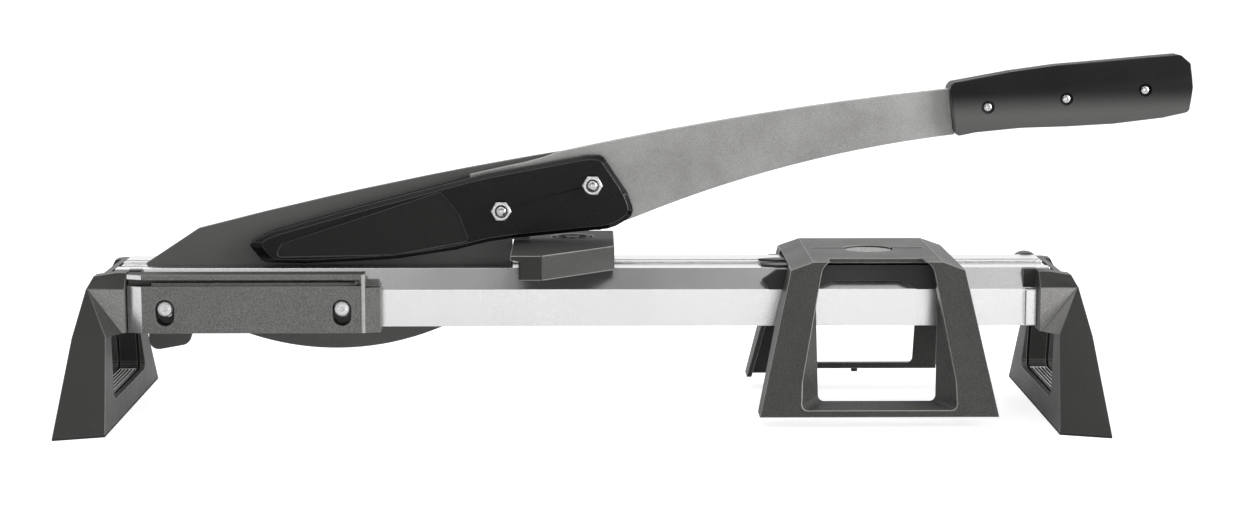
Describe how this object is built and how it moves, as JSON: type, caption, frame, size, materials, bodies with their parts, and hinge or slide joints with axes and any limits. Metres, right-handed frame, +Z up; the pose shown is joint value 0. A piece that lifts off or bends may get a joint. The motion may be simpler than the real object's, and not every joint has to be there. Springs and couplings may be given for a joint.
{
  "type": "laminate cutter",
  "caption": "Lever-operated laminate floor cutter: curved blade in a slotted aluminium rail on splayed feet, with mitre fence, guide plate and sliding support.",
  "frame": {"origin": "middle of the outline box, on the table plane under the feet", "axes": "+X along the rail from the blade's pivot to the grip, +Y from the front with the guide plate to the back, +Z up"},
  "size_m": [0.6772, 0.2014, 0.2189],
  "materials": {
    "anodised_aluminium": "bright satin anodised extrusion",
    "grained_plastic": "fine-grained dark grey moulding",
    "dark_liner": "smooth near-black moulding",
    "sole_rubber": "matt black rubber",
    "wrinkle_coat": "black wrinkle coating",
    "zinc": "bright zinc-plated steel",
    "bronze": "plain bronze bush",
    "blade_steel": "dark satin coated blade with a bare ground edge",
    "bar_steel": "mid-grey blasted steel",
    "gloss_cover": "gloss black moulding",
    "grip_plastic": "satin black grip scales"
  },
  "bodies": {
    "base": {"base_rail": "anodised_aluminium", "left_foot": "grained_plastic", "right_foot": "grained_plastic", "left_foot_liner": "dark_liner", "right_foot_liner": "dark_liner", "foot_soles": "sole_rubber", "foot_screws": "zinc", "guide_plate_screws": "zinc", "guide_plate_nuts": "zinc", "pivot_bolt": "zinc", "pivot_nut": "zinc", "pivot_washers": "zinc"},
    "guide": {"guide_plate": "wrinkle_coat"},
    "lever": {"pivot_bush": "bronze", "blade": "blade_steel", "lever_bar": "bar_steel", "front_cover": "gloss_cover", "rear_cover": "gloss_cover", "lever_bolts": "zinc", "lever_nuts": "zinc", "grip_front": "grip_plastic", "grip_rear": "grip_plastic", "grip_screws": "zinc", "grip_nuts": "zinc"},
    "fence": {"fence_block": "grained_plastic", "fence_slider": "zinc"},
    "knob": {"fence_knob": "grained_plastic", "fence_screw": "zinc"},
    "support": {"support_frame": "grained_plastic", "support_saddle": "dark_liner"}
  },
  "joints": [
    {"name": "lever_pivot", "type": "hinge", "parent": "base", "child": "lever", "pos_m": [-0.2816, -0.007, 0.062], "axis": [0, -1, 0], "range_deg": [0, 50]},
    {"name": "guide_plate_lift", "type": "slide", "parent": "base", "child": "guide", "axis": [0, 0, 1], "range_m": [0, 0.0046]},
    {"name": "fence_slide", "type": "slide", "parent": "base", "child": "fence", "axis": [1, 0, 0], "range_m": [0, 0.04]},
    {"name": "fence_knob_turn", "type": "hinge", "parent": "fence", "child": "knob", "pos_m": [-0.0366, 0.0095, 0.1], "axis": [0, 0, 1], "range_deg": [0, 180]},
    {"name": "support_slide", "type": "slide", "parent": "base", "child": "support", "axis": [1, 0, 0], "range_m": [-0.045, 0.015]}
  ]
}
